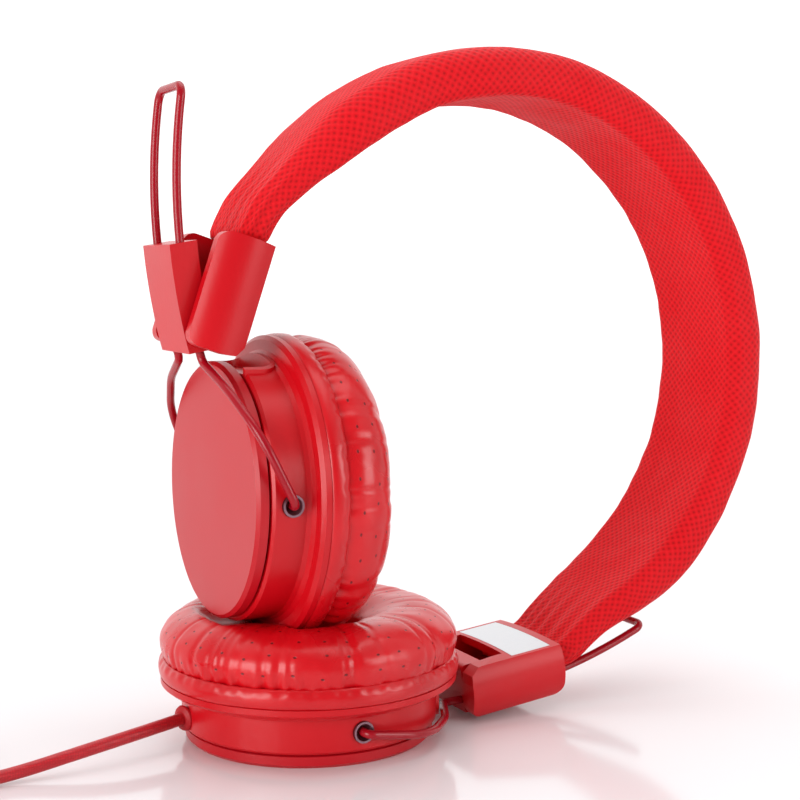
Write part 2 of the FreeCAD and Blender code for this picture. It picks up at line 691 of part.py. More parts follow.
# ---------------------------------------------------------------- cord
def cord_tube(label, points):
    """Tube along a route, as large in its arcs as the runs allow. Prints its radii."""
    route = [Vector(*p) for p in points]
    radii = []
    for before, corner, after in zip(route, route[1:], route[2:]):
        turn = (corner - before).getAngle(after - corner)
        shorter = min((before - corner).Length, (after - corner).Length)
        radii.append(0.45 * shorter / math.tan(turn / 2))
    edges = rounded_route(points, radii)
    solid = tube(edges, CORD_R)
    length = sum(e.Length for e in edges)
    expected = math.pi * CORD_R ** 2 * length
    print(label, "radii", [round(r, 1) for r in radii], "length", round(length, 1),
          "volume ratio", round(solid.Volume / expected, 4))
    return solid


def along(solid, start, way):
    """Move a solid made along +z so that it starts at a point and points along way."""
    turn = FreeCAD.Rotation(Vector(0, 0, 1), way)
    return placed(solid, Placement(start, turn))


def cord_grommet():
    """Short strain relief moulded on the cord, seated in the cup wall."""
    outline = [(0, 0), (2.5, 0), (2.5, 4.6), (3.1, 4.65), (2.9, 5.1), (1.9, 5.6), (0, 5.6)]
    start = Vector(*CORD_ROUTE[0])
    way = (Vector(*CORD_ROUTE[1]) - start).normalize()
    return along(turned(outline), start - way * 5.6, way)


def gland_hole():
    start = Vector(*CORD_ROUTE[0])
    way = (Vector(*CORD_ROUTE[1]) - start).normalize()
    seat = Part.makeCylinder(3.2, 3, start - way * 0.98, way)
    return Part.makeCylinder(2.55, 7, start - way * 7, way).fuse(seat)


def coil_ring():
    """Outer shape of the neat coil: a thick ring with rounded edges."""
    r0 = COIL_MEAN_R - COIL_BAND / 2
    r1 = COIL_MEAN_R + COIL_BAND / 2
    solid = turned([(r0 + 2, 0), (r1 - 2, 0), (r1, 2.6), (r1, COIL_H - 2.6), (r1 - 2.4, COIL_H),
                    (r0 + 2.4, COIL_H), (r0, COIL_H - 2.6), (r0, 2.6)])
    solid.translate(Vector(COIL_CENTRE[0], COIL_CENTRE[1], 0))
    return solid


def plug_parts():
    """Straight plug: tapered grip and its round pin."""
    end = Vector(*TAIL_ROUTE[-1])
    way = (end - Vector(*TAIL_ROUTE[-2])).normalize()
    grip = turned([(0, 0), (1.9, 0), (2.4, 8.0), (3.7, 9.0), (4.0, 10.2), (4.0, 25.0),
                   (3.2, 26.4), (0, 26.4)])
    pin = turned([(0, 0), (3.0, 0), (3.0, 0.8), (PLUG_R, 0.8), (PLUG_R, 11.2), (1.15, 12.6),
                  (1.7, 13.6), (0.5, 14.8), (0, 14.8)])
    return along(grip, end, way), along(pin, end + way * 26.4, way)


plug_grip, plug_pin = plug_parts()
save("left_cup_shell", BUILT["left_cup_shell"].cut(gland_hole()))
save("cord_grommet", cord_grommet())
save("cord", cord_tube("cord", CORD_ROUTE))
save("cord_coil", coil_ring())
save("cord_tail", cord_tube("cord tail", TAIL_ROUTE))
save("plug_grip", plug_grip)
save("plug_pin", plug_pin)

print("right pivot", right_yoke.Base, "right cup disc", right_cup.Base)
print("right cup inward", right_cup.Rotation.multVec(Vector(0, 0, 1)))
for name, shape in BUILT.items():
    if not shape.isValid() or shape.Volume <= 0:
        print("CHECK", name, shape.isValid(), shape.Volume)
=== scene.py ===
import bmesh
import bpy
import json
import math
import random
from mathutils import Matrix, Vector, noise


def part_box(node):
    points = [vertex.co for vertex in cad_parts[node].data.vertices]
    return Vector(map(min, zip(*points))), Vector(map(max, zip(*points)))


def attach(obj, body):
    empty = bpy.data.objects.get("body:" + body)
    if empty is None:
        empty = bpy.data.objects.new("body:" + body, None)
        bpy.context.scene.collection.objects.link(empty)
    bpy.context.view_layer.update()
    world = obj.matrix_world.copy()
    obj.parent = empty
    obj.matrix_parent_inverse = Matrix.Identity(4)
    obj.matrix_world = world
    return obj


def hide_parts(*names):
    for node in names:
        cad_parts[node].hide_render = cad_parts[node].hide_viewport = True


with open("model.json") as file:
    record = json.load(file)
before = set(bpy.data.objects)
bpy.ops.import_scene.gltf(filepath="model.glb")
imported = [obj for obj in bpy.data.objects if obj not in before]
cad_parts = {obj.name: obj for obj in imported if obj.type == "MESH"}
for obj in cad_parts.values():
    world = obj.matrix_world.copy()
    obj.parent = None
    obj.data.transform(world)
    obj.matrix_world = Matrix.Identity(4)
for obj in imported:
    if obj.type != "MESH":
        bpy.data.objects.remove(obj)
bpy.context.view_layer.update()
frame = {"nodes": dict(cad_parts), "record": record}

# Folding headphones standing on the outer disc of the left ear cup. Metres, +Z up, the CAD's frame.
MM = 0.001
RECORD = frame["record"]


# ---------------------------------------------------------------- node helpers
class Nodes:
    """Small wrapper that builds a material's node tree."""

    def __init__(self, name):
        self.mat = bpy.data.materials.new(name)
        self.mat.use_nodes = True
        self.tree = self.mat.node_tree
        self.bsdf = self.tree.nodes["Principled BSDF"]

    def add(self, kind, **settings):
        node = self.tree.nodes.new(kind)
        for key, value in settings.items():
            if key in node.inputs:
                node.inputs[key].default_value = value
            else:
                setattr(node, key, value)
        return node

    def link(self, a, out, b, into):
        self.tree.links.new(a.outputs[out], b.inputs[into])

    def coords(self, scale=(1, 1, 1)):
        tex = self.add("ShaderNodeTexCoord")
        mapping = self.add("ShaderNodeMapping")
        mapping.inputs["Scale"].default_value = scale
        self.link(tex, "Object", mapping, "Vector")
        return mapping

    def noise(self, where, scale, detail=4.0, rough=0.5):
        node = self.add("ShaderNodeTexNoise")
        node.inputs["Scale"].default_value = scale
        node.inputs["Detail"].default_value = detail
        node.inputs["Roughness"].default_value = rough
        self.link(where, "Vector", node, "Vector")
        return node

    def ramp(self, source, out, stops):
        node = self.add("ShaderNodeValToRGB")
        while len(node.color_ramp.elements) < len(stops):
            node.color_ramp.elements.new(0.5)
        for element, (at, colour) in zip(node.color_ramp.elements, stops):
            element.position = at
            element.color = (*colour, 1)
        self.link(source, out, node, "Fac")
        return node

    def span(self, source, out, lo, hi, to_lo, to_hi):
        node = self.add("ShaderNodeMapRange")
        for key, value in zip(("From Min", "From Max", "To Min", "To Max"), (lo, hi, to_lo, to_hi)):
            node.inputs[key].default_value = value
        self.link(source, out, node, "Value")
        return node

    def bump(self, source, out, distance, strength=1.0, below=None):
        node = self.add("ShaderNodeBump")
        node.inputs["Distance"].default_value = distance
        node.inputs["Strength"].default_value = strength
        self.link(source, out, node, "Height")
        if below:
            self.link(below, "Normal", node, "Normal")
        return node

    def set(self, **values):
        names = {"colour": "Base Color", "rough": "Roughness", "metal": "Metallic",
                 "coat": "Coat Weight", "coat_rough": "Coat Roughness", "sheen": "Sheen Weight",
                 "sheen_rough": "Sheen Roughness", "sheen_tint": "Sheen Tint",
                 "specular": "Specular IOR Level"}
        for key, value in values.items():
            if isinstance(value, tuple) and len(value) == 3:
                value = (*value, 1)
            self.bsdf.inputs[names[key]].default_value = value

    def to(self, source, out, socket):
        self.link(source, out, self.bsdf, socket)


def srgb(r, g, b):
    """Linear colour from 0..255 display values."""
    out = []
    for c in (r, g, b):
        c /= 255
        out.append(c / 12.92 if c <= 0.04045 else ((c + 0.055) / 1.055) ** 2.4)
    return tuple(out)


# ---------------------------------------------------------------- materials
def plastic(name, colour, rough=0.3, grain=0.00002, grain_scale=900, mottle=0.05):
    """Moulded plastic: faint flow mottling, very fine grain."""
    m = Nodes(name)
    m.set(rough=rough, specular=0.36)
    where = m.coords()
    flow = m.noise(where, 22, 3)
    dark = tuple(c * (1 - mottle) for c in colour)
    light = tuple(min(1, c * (1 + mottle)) for c in colour)
    tint = m.ramp(flow, "Fac", [(0.3, dark), (0.7, light)])
    m.to(tint, "Color", "Base Color")
    m.to(m.span(flow, "Fac", 0.3, 0.7, rough - 0.03, rough + 0.04), "Result", "Roughness")
    fine = m.noise(where, grain_scale, 2)
    wave = m.noise(where, 60, 1)
    below = m.bump(wave, "Fac", 0.00004)
    m.to(m.bump(fine, "Fac", grain, 1.0, below), "Normal", "Normal")
    return m.mat


def metal(name, colour, rough=0.3, stretch=(1, 1, 1), scale=400):
    """Metal with fine marks, drawn out into brushed lines by stretch."""
    m = Nodes(name)
    m.set(metal=1.0, rough=rough)
    where = m.coords(stretch)
    lines = m.noise(where, scale, 3, 0.7)
    dark = tuple(c * 0.86 for c in colour)
    m.to(m.ramp(lines, "Fac", [(0.3, dark), (0.75, colour)]), "Color", "Base Color")
    m.to(m.span(lines, "Fac", 0.3, 0.7, rough - 0.06, rough + 0.08), "Result", "Roughness")
    m.to(m.bump(lines, "Fac", 0.00001), "Normal", "Normal")
    return m.mat


def leatherette(name, colour, holes=True):
    """Soft thin vinyl with fine creases and small dark perforations."""
    m = Nodes(name)
    m.set(rough=0.34, specular=0.4, coat=0.15, coat_rough=0.2)
    where = m.coords()
    soft = m.noise(where, 70, 3)
    crease = m.noise(where, 1500, 3, 0.6)
    dark = tuple(c * 0.86 for c in colour)
    tint = m.ramp(soft, "Fac", [(0.3, dark), (0.7, colour)])
    m.to(m.span(soft, "Fac", 0.3, 0.7, 0.24, 0.36), "Result", "Roughness")
    below = None
    if holes:
        tex = m.add("ShaderNodeUVMap", uv_map="cloth")
        spots = m.add("ShaderNodeTexVoronoi", voronoi_dimensions="2D")
        spots.inputs["Scale"].default_value = 0.24
        spots.inputs["Randomness"].default_value = 0.35
        m.link(tex, "UV", spots, "Vector")
        dot = m.span(spots, "Distance", 0.045, 0.08, 0.0, 1.0)
        mix = m.add("ShaderNodeMix", data_type="RGBA")
        mix.inputs["A"].default_value = (*(c * 0.25 for c in colour), 1)
        m.link(dot, "Result", mix, "Factor")
        m.link(tint, "Color", mix, "B")
        m.to(mix, "Result", "Base Color")
        below = m.bump(dot, "Result", 0.00012, 0.8)
    else:
        m.to(tint, "Color", "Base Color")
    m.to(m.bump(crease, "Fac", 0.00003, 0.5, below), "Normal", "Normal")
    return m.mat


def knit(name, colour, light):
    """Fine knitted mesh from the piece's UV map, in millimetres."""
    m = Nodes(name)
    m.set(rough=0.7, specular=0.2, sheen=0.12, sheen_rough=0.4, sheen_tint=(1.0, 0.4, 0.4))
    tex = m.add("ShaderNodeUVMap", uv_map="cloth")
    turn = m.add("ShaderNodeMapping")
    turn.inputs["Rotation"].default_value = (0, 0, math.radians(45))
    turn.inputs["Scale"].default_value = (0.66, 0.66, 1)
    m.link(tex, "UV", turn, "Vector")
    cells = m.add("ShaderNodeTexVoronoi", voronoi_dimensions="2D")
    cells.inputs["Scale"].default_value = 1.0
    cells.inputs["Randomness"].default_value = 0.16
    m.link(turn, "Vector", cells, "Vector")
    yarn = m.add("ShaderNodeTexNoise", noise_dimensions="2D")
    yarn.inputs["Scale"].default_value = 3.1
    yarn.inputs["Detail"].default_value = 2.0
    m.link(tex, "UV", yarn, "Vector")
    wear = m.add("ShaderNodeTexNoise", noise_dimensions="2D")
    wear.inputs["Scale"].default_value = 0.05
    m.link(tex, "UV", wear, "Vector")
    hole = m.span(cells, "Distance", 0.10, 0.62, 0.0, 1.0)
    dark = tuple(c * 0.68 for c in colour)
    tint = m.ramp(hole, "Result", [(0.0, dark), (0.35, colour), (1.0, light)])
    m.to(tint, "Color", "Base Color")
    m.to(m.span(wear, "Fac", 0.3, 0.7, 0.62, 0.78), "Result", "Roughness")
    low = m.bump(yarn, "Fac", 0.00008, 0.5)
    m.to(m.bump(hole, "Result", 0.00017, 0.8, low), "Normal", "Normal")
    return m.mat


def cord_cloth(name, colour):
    """Thin braided textile cord."""
    m = Nodes(name)
    m.set(rough=0.42, specular=0.45, sheen=0.25, sheen_rough=0.4, sheen_tint=(1.0, 0.5, 0.5))
    where = m.coords()
    weave = m.add("ShaderNodeTexVoronoi", distance="MANHATTAN")
    weave.inputs["Scale"].default_value = 1700
    weave.inputs["Randomness"].default_value = 0.3
    m.link(where, "Vector", weave, "Vector")
    dark = tuple(c * 0.7 for c in colour)
    m.to(m.ramp(weave, "Distance", [(0.1, colour), (0.9, dark)]), "Color", "Base Color")
    m.to(m.bump(weave, "Distance", 0.00006, 0.7), "Normal", "Normal")
    return m.mat


def soft_matt(name, colour, scale):
    """Dull fibrous or foamed surface."""
    m = Nodes(name)
    m.set(rough=0.9, specular=0.2)
    where = m.coords()
    fuzz = m.noise(where, scale, 4, 0.7)
    dark = tuple(c * 0.6 for c in colour)
    m.to(m.ramp(fuzz, "Fac", [(0.3, dark), (0.7, colour)]), "Color", "Base Color")
    m.to(m.bump(fuzz, "Fac", 0.0001), "Normal", "Normal")
    return m.mat


RED = srgb(200, 8, 22)
MATERIALS = {
    "red_plastic": plastic("red plastic", RED, 0.32),
    "red_satin_plastic": plastic("satin red disc", srgb(190, 14, 28), 0.36, 0.00001, 1500, 0.03),
    "red_leatherette": leatherette("perforated leatherette", srgb(212, 8, 22)),
    "red_skirt": leatherette("vinyl strip", srgb(206, 8, 22), holes=False),
    "red_fabric": knit("red knit", srgb(213, 8, 20), srgb(228, 16, 28)),
    "red_painted_wire": plastic("crimson enamel", srgb(160, 10, 28), 0.22, 0.000005, 600, 0.05),
    "red_cord": cord_cloth("braided cord", srgb(204, 22, 36)),
    "red_rubber": plastic("red rubber", srgb(176, 12, 24), 0.5, 0.00003, 1200, 0.05),
    "foam": soft_matt("foam", (0.12, 0.12, 0.13), 900),
    "black_plastic": plastic("black plastic", (0.02, 0.02, 0.022), 0.5),
    "black_felt": soft_matt("felt", (0.03, 0.028, 0.03), 1500),
    "film": plastic("film", (0.5, 0.5, 0.48), 0.35),
    "board": plastic("board", (0.02, 0.14, 0.05), 0.4),
    "steel": metal("steel", (0.62, 0.62, 0.64), 0.3),
    "grey_metal": metal("dark nickel", srgb(142, 112, 122), 0.4),
    "brushed_plate": metal("satin plate", (0.70, 0.70, 0.72), 0.34, (1, 30, 1), 300),
    "copper_wire": metal("copper", (0.8, 0.42, 0.25), 0.3),
    "gold_plated": metal("gold plate", (0.9, 0.68, 0.3), 0.2),
}


def dress_cad():
    """Give every carried-over CAD node its slot's material."""
    slots = {s["node"]: s["material_slot"] for s in RECORD["subparts"]}
    for name, obj in frame["nodes"].items():
        material = MATERIALS[slots[name]]
        for slot in obj.material_slots:
            slot.material = material


# ---------------------------------------------------------------- geometry helpers
def rig(x, z, heading, side=1):
    """Frame in the X-Z plane: local x along heading, local z inward."""
    a = math.radians(heading)
    ux = Vector((math.cos(a), 0, math.sin(a)))
    uz = Vector((-math.sin(a), 0, math.cos(a))) * side
    uy = uz.cross(ux)
    return Matrix(((ux.x, uy.x, uz.x, x), (ux.y, uy.y, uz.y, 0), (ux.z, uy.z, uz.z, z),
                   (0, 0, 0, 1)))


def smooth(t):
    t = max(0.0, min(1.0, t))
    return t * t * (3 - 2 * t)


def bump_at(offset, width):
    """Smooth bump of height 1 at offset 0, zero beyond width either side."""
    return smooth(1 - abs(offset) / width)


def rolled(point, scale, seed):
    """Smooth noise of a point in metres, about -1 to 1."""
    return noise.noise(point * scale + Vector((seed, seed * 0.7, -seed)))


def grid_mesh(name, rows, closed_rows, material, uvs=None):
    """Mesh of quads from rows of points; every row is a closed loop."""
    count = len(rows[0])
    mesh = bpy.data.meshes.new(name)
    bm = bmesh.new()
    verts = [[bm.verts.new(p) for p in row] for row in rows]
    layer = bm.loops.layers.uv.new("cloth") if uvs else None
    last = len(rows) if closed_rows else len(rows) - 1
    for i in range(last):
        for k in range(count):
            i2, k2 = (i + 1) % len(rows), (k + 1) % count
            face = bm.faces.new((verts[i][k], verts[i][k2], verts[i2][k2], verts[i2][k]))
            face.smooth = True
            if uvs:
                corners = ((i, k), (i, k + 1), (i + 1, k + 1), (i + 1, k))
                for loop, (a, b) in zip(face.loops, corners):
                    loop[layer].uv = uvs(a, b)
    if not closed_rows:
        for row in (verts[0], verts[-1]):
            cap = bm.faces.new(row)
            cap.smooth = True
    bmesh.ops.recalc_face_normals(bm, faces=bm.faces)
    bm.to_mesh(mesh)
    bm.free()
    obj = bpy.data.objects.new(name, mesh)
    bpy.context.scene.collection.objects.link(obj)
    mesh.materials.append(material)
    return obj


def subdivide(obj):
    modifier = obj.modifiers.new("subdivision", "SUBSURF")
    modifier.levels = 1
    modifier.render_levels = 1


def eased_profile(corners, steps):
    """Closed smooth loop through rounded corners (Catmull-Rom)."""
    out = []
    n = len(corners)
    for i in range(n):
        p0, p1, p2, p3 = (Vector(corners[(i + j) % n]) for j in (-1, 0, 1, 2))
        for s in range(steps):
            t = s / steps
            out.append(0.5 * ((2 * p1) + (p2 - p0) * t + (2 * p0 - 5 * p1 + 4 * p2 - p3) * t * t
                              + (3 * p1 - p0 - 3 * p2 + p3) * t ** 3))
    return out


# ---------------------------------------------------------------- ear cups
# Heights are from the cup's outer disc.
CUP_TOP = {"left": 0.0314, "right": 0.0334}
CUSHION_SEED = {"left": 3.7, "right": 11.2}
CREASE_DRAW = {"left": 41, "right": 57}
SEAM_Z = 0.0196
CUSHION_R = 0.0357
HOLE_R = 0.0128
FLANGE_R = 0.0362
COVER_HALF_T = 0.00155
CREASES = 44
STITCHES = 33
PUCKER_DEPTH = 0.00062
CREASE_DEPTH = 0.00046
# the right cup's outline where it presses on the left cushion: reach from its axis
DISC_REACH = 0.0321
FLANGE_STEP = 0.0052
PRESS_FROM, PRESS_TO = -0.0035, 0.0370
PRESS_EASE = 0.0012


def cup_frame(side):
    """Frame of an ear cup, with local z from its outer disc to its cushion."""
    if side == "left":
        return Matrix.Identity(4)
    low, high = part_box(f"{side}_cup_cover")
    felt_low, felt_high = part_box(f"{side}_dust_felt")
    disc = Vector((low[0], 0, (low[2] + high[2]) / 2))
    felt = Vector(((felt_low[0] + felt_high[0]) / 2, 0, (felt_low[2] + felt_high[2]) / 2))
    inward = (felt - disc).normalized()
    middle = Vector(((low[0] + high[0]) / 2, 0, (low[2] + high[2]) / 2)) - inward * COVER_HALF_T
    heading = math.degrees(math.atan2(inward.x, -inward.z))
    return rig(middle.x, middle.z, heading, -1)


def press_dent(point, cup):
    """Push a point of the left cushion clear of the right cup standing on it."""
    local = cup.inverted() @ point
    along = local.z
    if not PRESS_FROM <= along <= PRESS_TO:
        return point
    radius = DISC_REACH + FLANGE_STEP * smooth((along - 0.0112) / 0.0022)
    radius -= 0.0008 * smooth((along - 0.0200) / 0.003)
    radius -= 0.0042 * smooth((along - 0.0290) / 0.0045)
    radius *= smooth((along - PRESS_FROM) / 0.0035) ** 0.15
    inside = radius - math.hypot(local.x, local.y)
    if inside <= -PRESS_EASE:
        return point
    push = inside if inside > PRESS_EASE else (inside + PRESS_EASE) ** 2 / (4 * PRESS_EASE)
    if along > PRESS_TO - 0.0035:
        push *= smooth((PRESS_TO - along) / 0.0035)
    return point - Vector((0, 0, push))


def ear_cushion(side):
    """Stuffed ring of thin vinyl, puckered along its outer seam."""
    top = CUP_TOP[side]
    z0 = SEAM_Z
    corners = [
        (CUSHION_R - 0.0016, z0 - 0.0006), (CUSHION_R - 0.0001, z0 + 0.0008),
        (CUSHION_R + 0.0005, z0 + 0.0042),
        (CUSHION_R - 0.0006, z0 + 0.62 * (top - z0)), (CUSHION_R - 0.0037, top - 0.0017),
        (CUSHION_R - 0.0082, top), (HOLE_R + 0.0075, top - 0.0003), (HOLE_R + 0.0022, top - 0.0030),
        (HOLE_R, z0 + 0.0050), (HOLE_R + 0.0012, z0 + 0.0006), (HOLE_R + 0.0080, z0 - 0.0002),
        (CUSHION_R - 0.0090, z0 - 0.0004),
    ]
    profile = eased_profile(corners, 6)
    place = cup_frame(side)
    right = cup_frame("right")
    seed = CUSHION_SEED[side]
    around = 288
    rng = random.Random(CREASE_DRAW[side])
    creases = [(rng.uniform(0, 2 * math.pi), rng.uniform(0.035, 0.11), rng.uniform(0.25, 1.0),
                rng.uniform(-0.006, 0.004)) for _ in range(CREASES)]
    middle = Vector(((CUSHION_R + HOLE_R) / 2, (z0 + top) / 2))
    rows = []
    for i in range(around):
        angle = 2 * math.pi * i / around
        row = []
        for spot in profile:
            r, z = spot
            out = (Vector(spot) - middle).normalized()
            radial = Vector((math.cos(angle) * r, math.sin(angle) * r, z))
            # puckers that fade away from the seam
            seam = smooth(1 - (z - z0) / 0.0062) * smooth((r - HOLE_R - 0.010) / 0.004)
            stitch = abs(math.sin(angle * STITCHES + 0.5 * math.sin(5 * angle + seed)))
            spread = Vector((math.cos(angle) * 1.3, math.sin(angle) * 1.3, seed))
            pull = 0.35 + 0.65 * smooth(0.5 + 1.4 * noise.noise(spread))
            amount = -PUCKER_DEPTH * pull * seam * (1 - stitch) ** 1.5
            # radial creases on the outer shoulder
            shoulder = smooth((r - HOLE_R - 0.004) / 0.010)
            for at, width, depth, lean in creases:
                off = (angle - at - lean * (z - z0) * 60 + math.pi) % (2 * math.pi) - math.pi
                if abs(off) < width:
                    amount -= CREASE_DEPTH * depth * shoulder * bump_at(off, width * 0.5)
            amount += 0.00035 * rolled(radial, 95, seed)
            amount += 0.00016 * rolled(radial, 260, seed)
            r += out.x * amount
            z += out.y * amount
            point = place @ Vector((math.cos(angle) * r, math.sin(angle) * r, z))
            if side == "left":
                point = press_dent(point, right)
            row.append(point)
        rows.append(row)
    lengths = [0.0]
    for a, b in zip(profile, profile[1:] + profile[:1]):
        lengths.append(lengths[-1] + (b - a).length / MM)

    def cloth_uv(i, k):
        return (i / around * 150.0, lengths[k])

    obj = grid_mesh(f"{side}_cushion_skin", rows, True, MATERIALS["red_leatherette"], cloth_uv)
    subdivide(obj)
    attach(obj, f"{side}_cup")
    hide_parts(f"{side}_ear_cushion")


def cushion_skirt(side):
    """Gathered strip of vinyl between the cup's flange and the cushion's seam."""
    z0, z1 = 0.0153, SEAM_Z
    inner = 0.0351
    corners = [
        (FLANGE_R - 0.0002, z0 + 0.0001), (FLANGE_R + 0.0004, z0 + 0.0012),
        (FLANGE_R + 0.0004, z1 - 0.0012), (FLANGE_R - 0.0003, z1 + 0.0001),
        (inner, z1 - 0.0001), (inner, z0 + 0.0001),
    ]
    profile = eased_profile(corners, 5)
    place = cup_frame(side)
    around = 420
    rows = []
    for i in range(around):
        angle = 2 * math.pi * i / around
        row = []
        for r, z in profile:
            front = smooth((r - inner) / (FLANGE_R - inner))
            high = smooth((z - z0) / (z1 - z0))
            fold = math.sin(angle * 2 * STITCHES + 1.2 * math.sin(7 * angle)) * 0.5 + 0.5
            point = Vector((math.cos(angle), math.sin(angle), z * 40))
            edge = smooth((high - 0.62) / 0.38)
            slack = 0.00022 * noise.noise(point * 3) - 0.00022 * fold * edge
            r += front * slack
            lift = 0.00016 * math.sin(angle * STITCHES + 0.6 * math.sin(5 * angle)) * high * front
            row.append(place @ Vector((math.cos(angle) * r, math.sin(angle) * r, z + lift)))
        rows.append(row)
    obj = grid_mesh(f"{side}_skirt_skin", rows, True, MATERIALS["red_skirt"])
    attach(obj, f"{side}_cup")
    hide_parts(f"{side}_cushion_skirt")


# ---------------------------------------------------------------- padded headband
BOW_R = 0.148
PIVOT_Z = 0.0080
YOKE_TILT = -12.7
BLOCK_ALONG = 0.051
# bend radius in millimetres and turn in degrees of each arc, from the left housing to the right
BAND_RUNS = [(11.97, 35.26), (-69.26, -13.84), (71.35, 59.45), (73.39, 70.6), (68.7, 54.48),
             (175.24, 6.5), (175.24, 3.7), (25.74, 28.26)]
BAND_W, BAND_T = 0.0340, 0.0112
MOUTH_W, MOUTH_T = 0.0265, 0.0080
MOUTH_X, BAND_Z = 0.0142, 0.0052
YOKE_HALF_W = 0.0125
WIRE_ROOM = 0.0015
PLEAT_LENGTH = 0.030
GATHER = 0.046
OUTER_BULGE = 0.0015
MOUTH_LIFT = 0.0013


def band_path(step):
    """Frames along the band's middle from the left housing, with the length to each."""
    turn = BLOCK_ALONG / BOW_R
    yoke = rig(0, PIVOT_Z, YOKE_TILT)
    block = yoke @ rig(BOW_R * math.sin(turn), BOW_R * (1 - math.cos(turn)), math.degrees(turn))
    place = block @ rig(MOUTH_X, BAND_Z, 0)
    frames = [(0.0, place)]
    done = 0.0
    for radius, degrees in BAND_RUNS:
        radius *= MM
        length = abs(radius * math.radians(degrees))
        count = max(2, int(round(length / step)))
        for i in range(1, count + 1):
            a = math.radians(degrees * i / count)
            part = rig(radius * math.sin(a), radius * (1 - math.cos(a)), math.degrees(a))
            frames.append((done + length * i / count, place @ part))
        place = frames[-1][1]
        done += length
    return frames, block


def band_outline(fullness, count):
    """Points round the band's section, evenly spread, starting at the middle of its outer face."""
    half = (MOUTH_W + (BAND_W - MOUTH_W) * fullness) / 2
    half_t = (MOUTH_T + (BAND_T - MOUTH_T) * fullness) / 2
    r_in = 0.0026 + 0.0006 * fullness
    r_out = 0.0037 + 0.0018 * fullness
    dense = []
    corners = ((1, -1, r_out, -90), (1, 1, r_in, 0), (-1, 1, r_in, 90), (-1, -1, r_out, 180))
    for sy, sz, r, a0 in corners:
        for i in range(13):
            a = math.radians(a0 + 90 * i / 12)
            dense.append((sy * (half - r) + r * math.cos(a), sz * (half_t - r) + r * math.sin(a)))
    dense = [(0.0, -half_t)] + dense + [(0.0, -half_t)]
    lengths = [0.0]
    for (y0, z0), (y1, z1) in zip(dense, dense[1:]):
        lengths.append(lengths[-1] + math.hypot(y1 - y0, z1 - z0))
    out = []
    k = 0
    for i in range(count):
        want = lengths[-1] * i / count
        while lengths[k + 1] < want:
            k += 1
        part = (want - lengths[k]) / max(1e-9, lengths[k + 1] - lengths[k])
        y = dense[k][0] + (dense[k + 1][0] - dense[k][0]) * part
        z = dense[k][1] + (dense[k + 1][1] - dense[k][1]) * part
        out.append((y, z))
    return out, lengths[-1]


def headband():
    """Knitted sleeve over foam: full in the middle, gathered into pleats at both housings."""
    frames, left_block = band_path(0.0012)
    total = frames[-1][0]
    count = 112
    right_housing = frames[-1][1] @ rig(0, 0, 180) @ Matrix.Diagonal((1, -1, -1, 1))
    right_housing = right_housing @ rig(-MOUTH_X, -BAND_Z, 0)
    beds = [left_block.inverted(), right_housing.inverted()]
    rows = []
    perimeter = band_outline(1.0, count)[1]
    for done, place in frames:
        near = min(done, total - done)
        fullness = smooth(near / GATHER)
        outline, _ = band_outline(fullness, count)
        pleat = 1 - smooth(near / PLEAT_LENGTH)
        seed = 2.0 if done < total / 2 else 9.0
        row = []
        for k, (y, z) in enumerate(outline):
            angle = 2 * math.pi * k / count
            out = Vector((y / (BAND_W / 2), z / (BAND_T / 2))).normalized()
            wave = math.sin(angle * 15 + 2.2 * math.sin(angle * 2 + seed) + near * 60 + seed)
            amount = 0.00036 * pleat * wave * smooth(near / 0.003)
            across = y / (BAND_W / 2)
            if z < 0:
                share = smooth(-z / 0.004)
                z -= OUTER_BULGE * fullness * (1 - across * across) * share
                z += MOUTH_LIFT * (1 - fullness) * share
            point = place @ Vector((0, y, z))
            amount += 0.00030 * rolled(point, 75, 4.0) + 0.00012 * rolled(point, 210, 8.0)
            inner_face = smooth((z - 0.002) / 0.002)
            amount += 0.00022 * inner_face * (1 - pleat) * rolled(
                Vector((done * 3.2, y * 0.6, 0)), 62, 6.0)
            if near < 0.0008:
                amount -= 0.0006
            point = place @ Vector((0, y + out.x * amount, z + out.y * amount))
            for bed in beds:
                point = over_wire(point, bed)
            row.append(point)
        rows.append(row)
    lengths = [f[0] for f in frames]

    def cloth_uv(i, k):
        return (lengths[i] / MM, perimeter * k / count / MM)

    obj = grid_mesh("headband_padding", rows, False, MATERIALS["red_fabric"], cloth_uv)
    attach(obj, "headband")
    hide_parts("headband_sleeve", "headband_foam")


def over_wire(point, to_housing):
    """Keep a point of the sleeve clear of the closed end of the yoke below it."""
    local = to_housing @ point
    if not 0.0135 < local.x < 0.060 or abs(local.y) > YOKE_HALF_W:
        return point
    away = math.hypot(local.x, BOW_R - local.z)
    limit = BOW_R - WIRE_ROOM
    if away <= limit:
        return point
    share = smooth((YOKE_HALF_W - abs(local.y)) / 0.0015)
    pull = (away - limit) * share
    toward = Vector((-local.x, 0, BOW_R - local.z)).normalized()
    return to_housing.inverted() @ (local + toward * pull)


# ---------------------------------------------------------------- cord
CORD_ROUTE = [
    (-0.0329, 0.0005, 0.0068),
    (-0.0434, -0.0037, 0.0064),
    (-0.0585, -0.0064, 0.0047),
    (-0.0750, -0.0064, 0.0017),
    (-0.0898, -0.0088, 0.0016),
]
TAIL_ROUTE = [
    (-0.1359, 0.0080, 0.0017),
    (-0.1364, -0.0032, 0.0022),
    (-0.1336, -0.0142, 0.0041),
    (-0.1286, -0.0240, 0.0041),
]
CORD_R = 0.0015
COIL_MEAN_R = 0.017
COIL_TURNS = 10
POINTS_PER_TURN = 14
TURN_GAP, LAYER_RISE = 0.0036, 0.0030
COIL_LOW_Z = 0.0017
